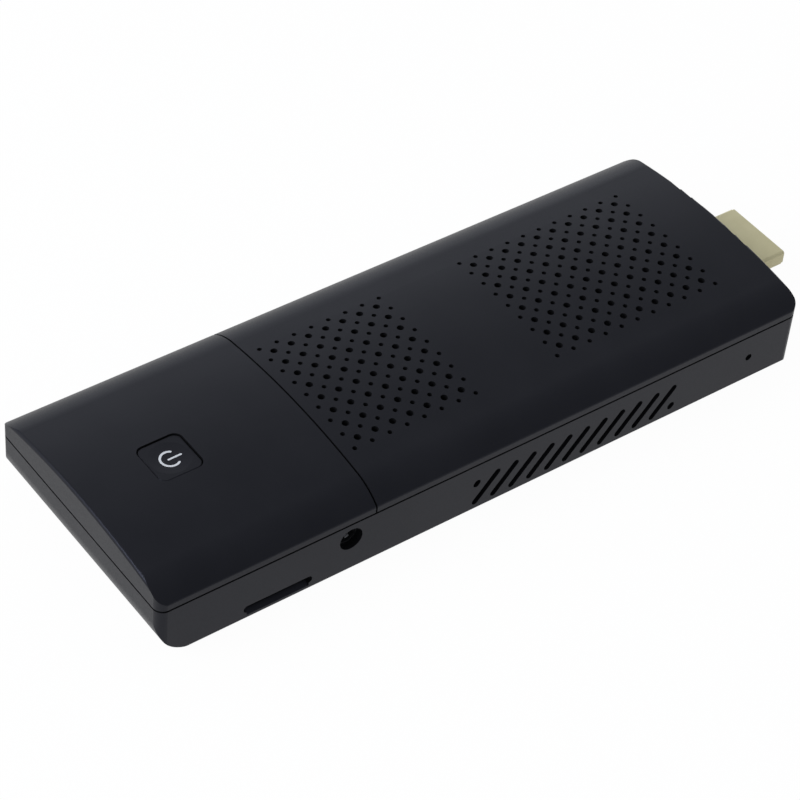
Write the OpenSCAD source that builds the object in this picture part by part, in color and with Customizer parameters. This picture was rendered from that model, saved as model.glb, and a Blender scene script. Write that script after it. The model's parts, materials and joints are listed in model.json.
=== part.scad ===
// HDMI stick computer: a crowned two-piece cover over a tray that holds the board, blower and ports.
// X runs from the button end to the plug, Y across the body, Z up from the table. Millimetres.

/* [Body] */
// Length of the body without the plug
body_length = 126; // [124.5:0.5:140]
// Width of the body
body_width = 45.6; // [45:0.2:52]
// Height at the middle of the crown
body_height = 15.4; // [15.2:0.1:18]
// Height of the covers above the parting line, at the middle of the crown
cover_height = 5.4; // [5.1:0.1:5.7]
// Radius of the crown across the width
crown_radius = 115; // [84:1:130]
// Radius of the shoulders between the crown and the long edges
shoulder_radius = 10; // [8:0.5:12]
// Height of the long edges above the parting line
edge_height = 1.4; // [1.2:0.05:1.7]
// Rounding of the long top edges
edge_round = 0.7; // [0.4:0.1:0.9]
// Rounding of the top edges at both ends
end_round = 0.5; // [0.3:0.1:0.7]
// Rounding of the upright corners
corner_round = 1.8; // [1.6:0.1:3]
// Rounding under the button end
nose_round = 7; // [5:0.5:8]
// Rounding under the plug end
heel_round = 1.4; // [0.8:0.1:2]
// Rounding of the long bottom edges
keel_round = 0.4; // [0.2:0.1:0.6]
// Thickness of the side walls
wall = 1.4; // [1.3:0.05:1.5]
// Thickness of the tray floor
tray_floor = 1.2; // [1.1:0.05:1.4]
// Smallest inside corner rounding
inner_corner = 0.3; // [0.2:0.1:0.4]

/* [Shell joints] */
// Height of the shadow line between the tray and the covers
shadow_gap = 0.36; // [0.2:0.02:0.5]
// Height of the tray's tongue above the parting line
tongue_rise = 1; // [0.8:0.1:1.2]
// Thickness of the tray's tongue
tongue_thickness = 0.7; // [0.6:0.05:0.8]
// Clearance between shells that slide together
shell_clearance = 0.1; // [0.05:0.01:0.15]
// Distance of the seam between the covers from the button end
seam_x = 39.3; // [39:0.1:39.6]
// Width of the seam between the covers
seam_gap = 0.3; // [0.2:0.05:0.4]
// Length of the front cap's lap under the main cover
lap_length = 1.6; // [1.2:0.1:1.8]
// Thickness of the lap
lap_thickness = 0.6; // [0.5:0.05:0.7]
// Length of each snap hook
hook_length = 4; // [3:0.5:4.5]
// Thickness of each snap hook
hook_thickness = 0.8; // [0.7:0.05:0.9]
// Depth of a snap hook below the parting line
hook_drop = 2.2; // [2:0.1:2.4]
// Reach of a snap hook's barb into the wall
barb_reach = 0.4; // [0.3:0.05:0.5]
// Height of a snap hook's barb
barb_height = 0.8; // [0.6:0.1:1]
// Distance of the front hooks from the button end
front_hook_x = 7; // [6.5:0.1:8]
// Distance of the near cap hook from the seam
cap_hook_step = 14.7; // [13.5:0.1:15.5]
// Distance of the first near cover hook from the seam
cover_hook_step = 6.7; // [6:0.1:8]
// Distance of the last near hook from the plug end
near_hook_end = 18; // [17:0.5:20]
// Distance of the last far hook from the plug end
far_hook_end = 26; // [22:0.5:28]
// Gap between a hook and the port beside it
hook_gap = 0.25; // [0.2:0.05:0.4]

/* [Grilles] */
// Pitch of the holes along the body
hole_pitch_x = 3.35; // [3.2:0.01:3.4]
// Pitch of the holes across the body
hole_pitch_y = 3.29; // [3.1:0.01:3.4]
// Diameter of the small holes
small_hole_d = 0.8; // [0.6:0.05:1]
// Diameter of the large holes
large_hole_d = 1.2; // [1:0.05:1.4]
// Distance of the front grille's first column from the button end
front_grille_x = 41.7; // [41.5:0.1:43]
// Columns of small holes in the front grille
front_grille_columns = 8; // [6:1:9]
// Distance of the rear grille's last column from the plug end
rear_grille_end = 10.9; // [10:0.1:12]
// Columns of small holes in the rear grille
rear_grille_columns = 11; // [9:2:11]
// Rows of small holes in both grilles
grille_rows = 9; // [7:2:9]

/* [Side vents] */
// Distance of the last vent's middle from the plug end
vent_end = 28.5; // [27.3:0.1:29.3]
// Height of the vents' middle
vent_z = 4.05; // [3.9:0.05:4.3]
// Spacing of the vents
vent_pitch = 3.64; // [3.4:0.01:3.8]
// Number of full vents
vent_count = 11; // [9:1:11]
// Slant of the vents from the long edge
vent_angle = 49; // [45:1:60]
// Length of a vent between its end centres
vent_length = 6.1; // [5:0.1:6.4]
// Width of a vent
vent_width = 1.2; // [0.9:0.05:1.4]
// Length of the short end vents between their end centres
stub_length = 0.3; // [0.2:0.1:0.6]
// Distance of a short vent from the middle of the next full one
stub_step = 2.0; // [1.9:0.05:2.1]
// Height of a short vent from the vents' middle
stub_rise = 1.75; // [1.5:0.05:1.9]

/* [Power button] */
// Distance of the button's middle from the button end
button_x = 16.2; // [16:0.1:17]
// Distance of the button's middle from the centre line
button_y = -0.3; // [-0.6:0.1:0.4]
// Length of the button's opening along the body
button_length = 8.1; // [7.8:0.1:8.6]
// Width of the button's opening across the body
button_width = 8.4; // [8:0.1:8.8]
// Rounding of the opening's corners
button_round = 1.5; // [1:0.1:2.5]
// Gap around the button
button_gap = 0.16; // [0.1:0.02:0.24]
// Depth of the button's face below the crown
button_recess = 0.25; // [0.2:0.05:0.5]
// Rounding of the button's top edge
button_edge = 0.2; // [0.1:0.05:0.3]
// Radius of the finger dish in the button's face
dish_radius = 3.4; // [3:0.1:3.5]
// Depth of the finger dish
dish_depth = 0.15; // [0.05:0.05:0.25]
// Travel of the button
button_travel = 0.3; // [0.2:0.05:0.4]
// Depth of the guide collar under the crown
collar_depth = 2.4; // [2.2:0.1:2.6]
// Wall of the guide collar
collar_wall = 1.1; // [1:0.1:1.3]
// Reach of the button's flange under the collar
flange_reach = 0.6; // [0.5:0.1:0.8]
// Thickness of the button's flange
flange_thickness = 0.8; // [0.6:0.1:1]
// Gap between the flange and the collar at rest
flange_gap = 0.04; // [0.02:0.01:0.06]
// Diameter of the button's stem
stem_d = 3; // [2.4:0.1:3.2]
// Gap between the stem and the switch plunger at rest
stem_gap = 0.02; // [0.01:0.01:0.04]

/* [Power switch] */
// Width of the switch
switch_width = 6.2; // [5.6:0.1:6.4]
// Height of the switch body
switch_height = 3.4; // [3:0.1:3.8]
// Height of the plunger's top above the board
plunger_height = 5.2; // [5:0.1:5.6]
// Diameter of the plunger
plunger_d = 3.4; // [3.2:0.1:3.6]
// Depth of the plunger inside the switch at rest
plunger_depth = 1; // [0.8:0.1:1.2]
// Radial clearance of the plunger
plunger_clearance = 0.05; // [0.03:0.01:0.08]

/* [Board] */
// Height of the board above the tray floor
board_lift = 1.6; // [1.55:0.05:1.7]
// Thickness of the board
board_thickness = 1; // [0.8:0.1:1]
// Gap between the board and the walls
board_gap = 0.5; // [0.4:0.05:0.6]
// Rounding of the board's corners
board_round = 2; // [1:0.1:2.5]
// Gap between the front screws' heads and the power inlet's legs
screw_gap = 1.2; // [0.6:0.1:1.4]
// Distance of the front screws from the board's long edges
front_screw_inset = 3.9; // [3.4:0.1:5]
// Distance of the rear screws from the plug end
rear_screw_end = 6; // [5:0.1:6.5]
// Distance of the rear screws from the board's long edges
rear_screw_inset = 6.4; // [6:0.1:7.5]
// Diameter of the screw bosses
boss_d = 3.8; // [3:0.1:4]
// Diameter of the screw shanks
screw_d = 1.2; // [1:0.05:1.3]
// Diameter of the screw heads
screw_head_d = 2.6; // [2.2:0.1:2.8]
// Height of the screw heads
screw_head_h = 0.7; // [0.5:0.1:0.8]
// Width of the screw heads' cross slot
screw_slot = 0.35; // [0.25:0.05:0.45]
// Diameter of the clearance holes for the screws
screw_hole_d = 1.6; // [1.4:0.05:1.8]
// Radial clearance of a screw in its boss
pilot_clearance = 0.02; // [0.01:0.01:0.04]
// Floor left under a boss's pilot hole
pilot_floor = 0.5; // [0.4:0.1:0.7]

/* [HDMI plug] */
// Reach of the plug out of the body
plug_reach = 11.9; // [11:0.1:12.5]
// Width of the plug
plug_width = 13.9; // [13.8:0.05:14]
// Height of the plug
plug_height = 4.45; // [4.3:0.05:4.5]
// Height of the plug's upright sides
plug_side = 2.5; // [2.2:0.1:2.8]
// Width of the plug's narrow face
plug_foot = 9.9; // [9:0.1:11]
// Rounding of the plug's wide corners
plug_corner = 0.6; // [0.5:0.05:0.7]
// Thickness of the plug's shell
plug_sheet = 0.35; // [0.3:0.05:0.4]
// Depth of the plug below the board's top
plug_sink = 1.5; // [1.4:0.05:1.6]
// Depth of the plug inside the body
plug_depth = 10.4; // [9.5:0.1:10.5]
// Gap around the plug in the wall
plug_gap = 0.25; // [0.15:0.05:0.4]
// Inset of the plug's lead-in lip
plug_lip = 0.12; // [0.08:0.02:0.16]
// Length of the plug's lead-in lip
plug_lip_length = 0.5; // [0.3:0.1:0.8]
// Distance of the insert's face behind the plug's tip
insert_recess = 0.8; // [0.6:0.1:1.2]
// Width of the insert's mouth
insert_mouth_width = 10.6; // [10:0.1:11]
// Height of the insert's mouth
insert_mouth_height = 1.9; // [1.7:0.05:2]
// Depth of the insert's mouth
insert_mouth_depth = 8; // [7:0.5:9]
// Contacts in the plug's upper row
plug_contacts = 10; // [8:1:10]
// Pitch of the plug's contacts
plug_contact_pitch = 1; // [0.9:0.05:1]
// Width of one plug contact
plug_contact_width = 0.3; // [0.2:0.05:0.4]

/* [USB ports] */
// Distance of the lower-speed port's middle from the button end
usb2_x = 31.6; // [31:0.1:31.8]
// Distance of the higher-speed port's middle from the button end
usb3_x = 52; // [51.5:0.1:53]
// Width of a port
usb_width = 13.1; // [13:0.05:13.3]
// Height of a port
usb_height = 5.7; // [5.6:0.05:5.8]
// Depth of a port
usb_depth = 14; // [13.6:0.1:14.1]
// Thickness of a port's shell
usb_sheet = 0.3; // [0.25:0.05:0.35]
// Rounding of a port's corners
usb_corner = 0.6; // [0.5:0.05:0.9]
// Depth of a port below the board's top
usb_sink = 1.05; // [0.9:0.05:1.2]
// Width of a port's tongue
usb_tongue_width = 11.1; // [10.8:0.1:11.4]
// Thickness of a port's tongue
usb_tongue_thickness = 1.84; // [1.7:0.02:1.9]
// Gap between the tongue and the top of the shell
usb_tongue_gap = 0.4; // [0.3:0.05:0.5]
// Distance of the tongue's front behind the mouth
usb_tongue_recess = 1.2; // [1:0.1:1.6]
// Depth of the block behind the tongue
usb_block = 3; // [2.5:0.1:3.5]
// Width of one wide contact
usb_contact_width = 1; // [0.8:0.1:1.2]
// Length of one wide contact
usb_contact_length = 6.4; // [6:0.1:6.8]
// Length of one short front contact
usb_front_length = 1.6; // [1.2:0.1:1.8]
// Pitch of the wide contacts
usb_contact_pitch = 2.3; // [2:0.05:2.5]

/* [Power inlet] */
// Distance of the inlet's middle from the button end
inlet_x = 16; // [15.6:0.1:16.4]
// Width of the inlet
inlet_width = 7.5; // [7.4:0.05:7.7]
// Height of the inlet
inlet_height = 2.5; // [2.45:0.05:2.7]
// Height of the inlet's upright sides
inlet_side = 1.3; // [1.1:0.1:1.5]
// Width of the inlet's narrow face
inlet_foot = 5.6; // [5.2:0.1:5.8]
// Rounding of the inlet's wide corners
inlet_corner = 0.5; // [0.4:0.05:0.6]
// Thickness of the inlet's shell
inlet_sheet = 0.25; // [0.2:0.05:0.3]
// Depth of the inlet
inlet_depth = 5.4; // [5:0.1:6]
// Width of the inlet's tongue
inlet_tongue_width = 3.7; // [3.4:0.1:3.9]
// Thickness of the inlet's tongue
inlet_tongue_thickness = 0.6; // [0.5:0.05:0.65]
// Depth of the block behind the inlet's tongue
inlet_block = 1.4; // [1.2:0.1:1.6]
// Pitch of the inlet's contacts
inlet_contact_pitch = 0.65; // [0.6:0.05:0.7]

/* [Port fitting] */
// Gap between a port and the wall or board around it
port_gap = 0.2; // [0.15:0.05:0.3]
// Distance of a port's mouth behind the outer face
mouth_recess = 0.1; // [0.05:0.05:0.2]
// Reach of a port's solder legs beside it
leg_reach = 1.2; // [1:0.1:1.4]
// Length of a port's solder legs
leg_length = 3; // [2:0.1:4]
// Gap between an insulator and the shell around it
insulator_gap = 0.04; // [0.02:0.01:0.06]
// Thickness of the contacts
contact_thickness = 0.15; // [0.1:0.05:0.2]

/* [Audio jack] */
// Distance of the jack's axis from the button end
jack_x = 34.8; // [34.5:0.1:35.2]
// Height of the jack's axis above the board
jack_rise = 3; // [2.9:0.05:3.1]
// Diameter of the jack's bore
jack_bore_d = 3.6; // [3.55:0.01:3.65]
// Diameter of the hole in the wall
jack_hole_d = 4.2; // [4:0.1:4.6]
// Depth of the jack's bore
jack_bore_depth = 11.5; // [11:0.1:12]
// Width of the jack
jack_width = 5.6; // [5.2:0.1:6]
// Height of the jack
jack_height = 5.5; // [5.4:0.1:5.7]
// Length of the jack
jack_length = 13; // [12.6:0.1:13.2]
// Width of a jack spring
spring_width = 1.2; // [1:0.1:1.4]

/* [Card slot] */
// Distance of the card slot's middle from the button end
card_x = 21.5; // [21.2:0.1:21.8]
// Width of the card slot
card_slot_width = 12.6; // [12.2:0.1:13]
// Height of the card slot
card_slot_height = 1.4; // [1.3:0.05:1.5]
// Height of the slot's lower edge above the tray's foot
card_slot_z = 1.35; // [1.3:0.05:1.4]
// Drop of the scoop under the slot
scoop_drop = 0.55; // [0.4:0.05:0.65]
// Depth of the scoop
scoop_depth = 0.9; // [0.7:0.1:1.2]
// Inset of the scoop from the ends of the slot
scoop_inset = 0.6; // [0.4:0.1:1]
// Width of the card socket
socket_width = 14.6; // [14.4:0.1:14.8]
// Length of the card socket
socket_length = 14.4; // [14:0.1:14.6]
// Height of the card socket
socket_height = 1.45; // [1.4:0.01:1.5]
// Thickness of the card socket's shell
socket_sheet = 0.15; // [0.1:0.01:0.2]
// Thickness of the card socket's base plate
socket_plate = 0.35; // [0.3:0.05:0.4]
// Width of the card socket's side rail
socket_rail = 0.85; // [0.7:0.05:1]
// Width of the ejector
ejector_width = 1.1; // [1:0.05:1.2]
// Length of the ejector
ejector_length = 4; // [3.5:0.1:4.5]
// Travel of the ejector
ejector_travel = 1; // [0.8:0.1:1.2]
// Clearance around the ejector
ejector_clearance = 0.1; // [0.06:0.01:0.12]
// Contacts in the card socket
card_contact_count = 8; // [6:1:8]
// Pitch of the card socket's contacts
card_contact_pitch = 1.1; // [1:0.05:1.2]
// Width of one card contact
card_contact_width = 0.6; // [0.4:0.05:0.7]
// Length of one card contact
card_contact_length = 4; // [3:0.1:4.5]

/* [Reset switch] */
// Distance of the pin hole from the plug end
reset_end = 10; // [9.6:0.1:10.4]
// Height of the pin hole above the board
reset_rise = 1.3; // [1.2:0.05:1.5]
// Diameter of the pin hole
reset_hole_d = 1.3; // [1.1:0.1:1.6]
// Width of the reset switch
reset_width = 4; // [3.6:0.1:4.2]
// Depth of the reset switch
reset_depth = 2.6; // [2.4:0.1:2.8]
// Height of the reset switch
reset_height = 2.6; // [2.5:0.1:3]
// Diameter of the reset plunger
reset_plunger_d = 1.6; // [1.4:0.1:1.8]
// Reach of the reset plunger out of the switch
reset_plunger_reach = 0.8; // [0.7:0.05:0.9]
// Depth of the reset plunger inside the switch
reset_plunger_depth = 0.8; // [0.6:0.1:1]
// Travel of the reset plunger
reset_travel = 0.25; // [0.2:0.05:0.3]
// Gap between the reset plunger and the wall
reset_gap = 0.3; // [0.2:0.05:0.4]

/* [Processor] */
// Width of the processor's package
processor_width = 17; // [15:0.1:17]
// Thickness of the package
processor_base = 0.6; // [0.5:0.1:0.7]
// Width of the die
die_width = 9; // [8:0.1:10]
// Thickness of the die
die_thickness = 0.5; // [0.4:0.1:0.6]
// Width of the thermal pad
pad_width = 11; // [10:0.1:13]
// Thickness of the thermal pad
pad_thickness = 0.5; // [0.4:0.1:0.7]

/* [Heat sink] */
// Distance of the heat sink's front from the button end
sink_x = 42.5; // [42:0.1:43]
// Gap between the heat sink and the blower
sink_gap = 3.75; // [3:0.05:4.5]
// Gap between the heat sink and the wall beside it
sink_side_gap = 2; // [1.6:0.1:2.4]
// Gap between the heat sink and the ports on the hidden side
sink_port_gap = 2.5; // [2:0.1:3]
// Thickness of the heat sink's plate
sink_plate = 1; // [0.8:0.1:1.2]
// Gap between the fins and the crown above them
fin_gap = 1.4; // [1.2:0.1:2]
// Thickness of a fin
fin_thickness = 0.8; // [0.7:0.1:1]
// Number of fins
fin_count = 12; // [9:1:13]
// Distance of the heat sink's screws from its edges
sink_screw_inset = 2.3; // [2.2:0.1:2.5]

/* [Blower] */
// Width of the blower
fan_width = 30; // [29.6:0.1:30]
// Height of the blower
fan_height = 6; // [5.8:0.1:6.2]
// Thickness of the blower's base and lid
fan_plate = 0.8; // [0.7:0.1:0.9]
// Radius of the blower's scroll
scroll_r = 13.2; // [13:0.1:13.3]
// Offset of the scroll from the blower's axis
scroll_offset = 0.8; // [0.6:0.1:0.9]
// Wall beside the blower's outlet
outlet_wall = 1.4; // [1.2:0.1:1.6]
// Reach of the outlet past the blower's axis
outlet_reach = 1; // [0.5:0.1:2]
// Radius of the blower's intake
intake_r = 8.5; // [7.5:0.1:9]
// Distance of the blower's screws from its axis along each side
fan_screw_offset = 12.8; // [12.4:0.1:13]
// Radius of the impeller
impeller_r = 11.4; // [10.8:0.1:11.5]
// Gap above and below the impeller
impeller_gap = 0.4; // [0.3:0.05:0.5]
// Outer radius of the impeller's hub
hub_r = 6; // [5.8:0.1:6.4]
// Wall of the impeller's hub
hub_wall = 0.6; // [0.5:0.05:0.7]
// Thickness of the impeller's ring plate
ring_plate = 0.5; // [0.4:0.1:0.6]
// Number of blades
blade_count = 17; // [11:2:19]
// Thickness of a blade
blade_thickness = 0.6; // [0.5:0.05:0.7]
// Radius of a blade's curve
blade_curve = 8; // [7:0.5:10]
// Radius of the shaft
shaft_r = 0.75; // [0.6:0.05:0.8]
// Radial running clearance of the shaft
shaft_clearance = 0.03; // [0.02:0.01:0.05]
// Gap under the end of the shaft
shaft_end_gap = 0.1; // [0.05:0.01:0.15]
// Outer radius of the bearing
bearing_r = 1.6; // [1.4:0.05:1.7]
// Outer radius of the bearing's boss
bearing_boss_r = 2.25; // [2.1:0.05:2.35]
// Gap between the bearing and the hub
bearing_gap = 0.25; // [0.2:0.05:0.3]
// Radial thickness of the magnet
magnet_thickness = 0.6; // [0.5:0.05:0.7]
// Height of the magnet
magnet_height = 2.4; // [2:0.1:2.5]
// Height of the stator
stator_height = 1.6; // [1.4:0.1:1.8]
// Gap between the stator and the magnet
stator_gap = 0.4; // [0.3:0.05:0.5]
// Width of a stator arm
stator_arm = 1.2; // [1:0.1:1.4]
// Thickness of the stator's ring
stator_ring = 0.8; // [0.7:0.05:0.9]
// Height of the shoulder under the stator
shoulder_height = 0.6; // [0.5:0.05:0.7]
// Clearance of parts pressed on the blower's boss
boss_clearance = 0.02; // [0.01:0.01:0.04]

/* [Chips] */
// Length of a memory chip
memory_length = 8; // [7:0.1:9]
// Width of a memory chip
memory_width = 11; // [10:0.1:12]
// Thickness of the flat chips
chip_thickness = 0.9; // [0.7:0.05:1]
// Spacing of the memory chips
memory_spacing = 18; // [16:0.1:19]
// Length of the storage chip
storage_length = 11.5; // [11:0.1:12]
// Width of the storage chip
storage_width = 13; // [12:0.1:13.2]
// Width of the power controller
controller_width = 5; // [4:0.1:5.4]
// Width of a power inductor
inductor_width = 3.2; // [3:0.1:3.4]
// Height of a power inductor
inductor_height = 2; // [1.6:0.1:2.4]
// Spacing of the power inductors
inductor_spacing = 3.8; // [3.7:0.1:3.9]
// Distance of the outer power inductors from the board's edge
inductor_edge = 0.3; // [0.2:0.05:0.5]
// Gap between the power inductors and the controller
inductor_gap = 0.7; // [0.4:0.05:1]
// Gap between the power inductors and the port's legs
inductor_port_gap = 0.75; // [0.5:0.05:1.5]

/* [Wireless] */
// Distance of the wireless module's middle from the button end
module_x = 28.5; // [28:0.1:29]
// Width of the wireless module
module_width = 12; // [11.6:0.1:12.4]
// Thickness of the wireless module's board
module_thickness = 0.8; // [0.6:0.1:1]
// Length of the wireless module's shield
shield_length = 8.4; // [8:0.1:8.6]
// Height of the wireless module's shield
shield_height = 1.4; // [1.2:0.1:1.6]
// Inset of the shield from the module's edges
shield_inset = 0.5; // [0.4:0.05:0.6]
// Width of the antenna
antenna_width = 26; // [22:0.5:28]
// Height of the antenna
antenna_height = 4.4; // [3.8:0.1:4.6]
// Thickness of the antenna
antenna_thickness = 0.5; // [0.4:0.05:0.6]
// Distance of the antenna from the button end
antenna_x = 6; // [5.8:0.1:6.4]
// Length of the antenna's slot
antenna_slot = 18; // [14:0.5:19]
// Height of the antenna's slot
antenna_slot_height = 1; // [0.8:0.1:1.2]
// Diameter of the antenna cable
cable_d = 0.8; // [0.6:0.05:0.9]
// Diameter of the cable's connector
connector_d = 2; // [1.8:0.1:2.2]
// Height of the cable's connector
connector_height = 1.2; // [1.1:0.05:1.3]
// Distance of the cable from the module's edge
cable_inset = 1.3; // [1.2:0.05:1.5]

/* [Hidden] */
$fn = 96;
crown_facets = 720;
eps = 0.01;
edge_overlap = 0.01;
end_overlap = 0.07;
plan_overlap = 0.02;

overall_length = body_length + plug_reach;
parting_height = body_height - cover_height;
half_width = body_width / 2;
inner_half = half_width - wall;
near_inner = -inner_half;
back_inner = body_length - wall;

rim_low = parting_height - shadow_gap / 2;
rim_high = parting_height + shadow_gap / 2;
step_z = parting_height + tongue_rise;
rim_inset = wall - tongue_thickness - shell_clearance;
cap_end = seam_x - seam_gap / 2;
cover_start = seam_x + seam_gap / 2;

crown_axis_z = body_height - crown_radius;
corner_z = parting_height + edge_height - crown_axis_z;
corner_reach = sqrt(pow(half_width, 2) + pow(corner_z, 2));
shoulder_reach = crown_radius - shoulder_radius + edge_overlap;
reach_product = 2 * shoulder_reach * corner_reach;
corner_share = (pow(shoulder_reach, 2) + pow(corner_reach, 2) - pow(shoulder_radius, 2)) / reach_product;
shoulder_angle = atan2(half_width, corner_z) - acos(corner_share);
shoulder_y = shoulder_reach * sin(shoulder_angle);
shoulder_z = crown_axis_z + shoulder_reach * cos(shoulder_angle);
edge_y = half_width - edge_round;
edge_reach = shoulder_radius - edge_round + edge_overlap;
edge_z = shoulder_z + sqrt(pow(edge_reach, 2) - pow(edge_y - shoulder_y, 2));
edge_meet = shoulder_y + (edge_y - shoulder_y) * shoulder_radius / edge_reach;

hook_y = inner_half - shell_clearance;
hook_low = parting_height - hook_drop;
port_hook_step = usb_width / 2 + port_gap + hook_gap + hook_length / 2;
near_hook_first = seam_x + cover_hook_step;
near_hook_last = body_length - near_hook_end;
far_hook_first = usb3_x - port_hook_step;
far_hook_last = body_length - far_hook_end;
cap_hooks = [
  [front_hook_x, -1],
  [seam_x - cap_hook_step, -1],
  [front_hook_x, 1],
  [usb2_x - port_hook_step, 1]
];
cover_hooks = [
  [near_hook_first, -1],
  [(near_hook_first + near_hook_last) / 2, -1],
  [near_hook_last, -1],
  [far_hook_first, 1],
  [(far_hook_first + far_hook_last) / 2, 1],
  [far_hook_last, 1]
];

front_grille_end = front_grille_x + (front_grille_columns - 1) * hole_pitch_x;
rear_grille_x = body_length - rear_grille_end - (rear_grille_columns - 1) * hole_pitch_x;
fan_x = body_length - rear_grille_end - (rear_grille_columns - 1) * hole_pitch_x / 2;
vent_last = body_length - vent_end;
vent_first = vent_last - (vent_count - 1) * vent_pitch;

nose_inner = nose_round - wall;
board_bottom = tray_floor + board_lift;
board_top = board_bottom + board_thickness;
nose_run = sqrt(pow(nose_inner, 2) - pow(nose_inner - board_lift, 2));
board_front = wall + nose_inner - nose_run + board_gap;
board_end = back_inner - board_gap;
board_half = inner_half - board_gap;

plug_bottom = board_top - plug_sink;
plug_back = body_length - plug_depth;
plug_tip = body_length + plug_reach;
usb_bottom = board_top - usb_sink;
mouth_y = half_width - mouth_recess;
usb_back = mouth_y - usb_depth;
usb_tongue_top = usb_bottom + usb_height - usb_sheet - usb_tongue_gap;
usb_tongue_low = usb_tongue_top - usb_tongue_thickness;
inlet_back = mouth_y - inlet_depth;
inlet_tongue_z = board_top + inlet_height / 2;

jack_z = board_top + jack_rise;
jack_front = near_inner + shell_clearance;
reset_x = body_length - reset_end;
reset_z = board_top + reset_rise;
reset_front = near_inner + reset_gap + reset_plunger_reach;

socket_low = board_bottom - socket_height;
socket_front = near_inner + shell_clearance;
socket_back = socket_front + socket_length;
socket_left = card_x - socket_width / 2;
socket_right = card_x + socket_width / 2;
socket_roof = board_bottom - socket_plate;
socket_floor = socket_low + socket_sheet;
ejector_right = socket_right - socket_sheet - ejector_clearance;
ejector_back = socket_back - socket_rail - ejector_travel - ejector_clearance;

sink_end = fan_x - fan_width / 2 - sink_gap;
sink_near_y = near_inner + sink_side_gap;
sink_far_y = usb_back - sink_port_gap;
sink_bottom = board_top + processor_base + die_thickness + pad_thickness;
sink_top = sink_bottom + sink_plate;
fin_top = crown_z(sink_near_y, wall) - fin_gap;
fin_pitch = (sink_end - sink_x - fin_thickness) / (fin_count - 1);
processor_x = (sink_x + sink_end) / 2;
processor_y = (sink_near_y + sink_far_y) / 2;

fan_top = board_top + fan_height;
fan_floor = board_top + fan_plate;
fan_ceiling = fan_top - fan_plate;
impeller_low = fan_floor + impeller_gap;
impeller_high = fan_ceiling - impeller_gap;
hub_ceiling = impeller_high - hub_wall;
bearing_low = board_top + fan_plate / 2;
shaft_low = bearing_low + shaft_end_gap;
shaft_high = impeller_high - hub_wall / 2;
hub_boss_low = hub_ceiling - hub_wall;
bearing_high = hub_boss_low - bearing_gap;
stator_low = fan_floor + shoulder_height;
magnet_inner = hub_r - hub_wall - boss_clearance - magnet_thickness;
blade_mid_r = (hub_r + impeller_r) / 2;

inductor_outer_y = board_half - inductor_edge - inductor_width / 2;
inductor_inner_y = inductor_outer_y - inductor_spacing;
inductor_left = usb3_x + usb_width / 2 + leg_reach + inductor_port_gap + inductor_width / 2;
controller_x = inductor_left + inductor_spacing / 2;
controller_y = inductor_inner_y - inductor_width / 2 - inductor_gap - controller_width / 2;

module_y = (jack_front + jack_length + usb_back) / 2;
module_top = board_top + module_thickness;
cable_z = module_top + connector_height - cable_d / 2;
cable_x = module_x - module_width / 2 + cable_inset;
cable_y = module_y - module_width / 2 + cable_inset;

stem_bottom = board_top + plunger_height + stem_gap;
collar_low = body_height - collar_depth;
flange_top = collar_low - flange_gap;

front_screw_x = inlet_x - inlet_width / 2 - leg_reach - screw_gap - screw_head_d / 2;
front_screw_y = board_half - front_screw_inset;
rear_screw_x = body_length - rear_screw_end;
rear_screw_y = board_half - rear_screw_inset;
board_points = [
  [front_screw_x, front_screw_y],
  [front_screw_x, -front_screw_y],
  [rear_screw_x, rear_screw_y],
  [rear_screw_x, -rear_screw_y]
];
sink_points = [
  [sink_x + sink_screw_inset, sink_near_y + sink_screw_inset],
  [sink_end - sink_screw_inset, sink_far_y - sink_screw_inset]
];
fan_points = [
  [fan_x - fan_screw_offset, fan_screw_offset],
  [fan_x + fan_screw_offset, -fan_screw_offset]
];

// Height of a surface that follows the crown, at a distance from the centre line
function crown_z(y, inset) =
  y < crown_meet(inset)
    ? crown_axis_z + sqrt(pow(crown_radius - inset, 2) - pow(y, 2))
    : shoulder_z + sqrt(pow(shoulder_radius - inset, 2) - pow(y - shoulder_y, 2));

// Distance from the centre line at which the crown turns into a shoulder
function crown_meet(inset) = (crown_radius - inset) * sin(shoulder_angle);

// Puts the middle of the whole length on the frame's origin
module placed() {
  translate([-overall_length / 2, 0, 0])
    children();
}

// Extrudes a section drawn across the body
module along_x(x0, x1) {
  translate([x0, 0, 0])
    rotate([90, 0, 90])
      linear_extrude(height = x1 - x0)
        children();
}

// Extrudes a side view across the body
module along_y(y0, y1) {
  translate([0, y1, 0])
    rotate([90, 0, 0])
      linear_extrude(height = y1 - y0)
        children();
}

// Extrudes a plan upwards
module upright(z0, z1) {
  translate([0, 0, z0])
    linear_extrude(height = z1 - z0)
      children();
}

// Straight block between two corners
module slab(low, high) {
  translate(low)
    cube(high - low);
}

// Rectangle with round corners about its middle
module round_rectangle(width, height, r) {
  union() {
    square([width - 2 * r, height], center = true);
    square([width, height - 2 * r], center = true);
    for (sx = [-1, 1], sy = [-1, 1])
      translate([sx * (width / 2 - r), sy * (height / 2 - r)])
        circle(r);
  }
}

// Section with rounded top corners about its middle line
module soft_section(width, edge, low, top) {
  union() {
    translate([-width / 2, low])
      square([width, top - edge - low]);
    translate([-width / 2 + edge, low])
      square([width - 2 * edge, top - low]);
    for (s = [-1, 1])
      translate([s * (width / 2 - edge), top - edge])
        circle(edge);
  }
}

// Block with round upright corners and a rounded top edge
module soft_block(length, width, r, edge, low, top) {
  core_x = length / 2 - r;
  core_y = width / 2 - r;
  union() {
    along_x(-core_x, core_x)
      soft_section(width, edge, low, top);
    along_y(-core_y, core_y)
      soft_section(length, edge, low, top);
    for (sx = [-1, 1], sy = [-1, 1])
      translate([sx * core_x, sy * core_y, 0])
        rotate_extrude()
          intersection() {
            soft_section(2 * r, edge, low, top);
            translate([0, low])
              square([width, top - low]);
          }
  }
}

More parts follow.
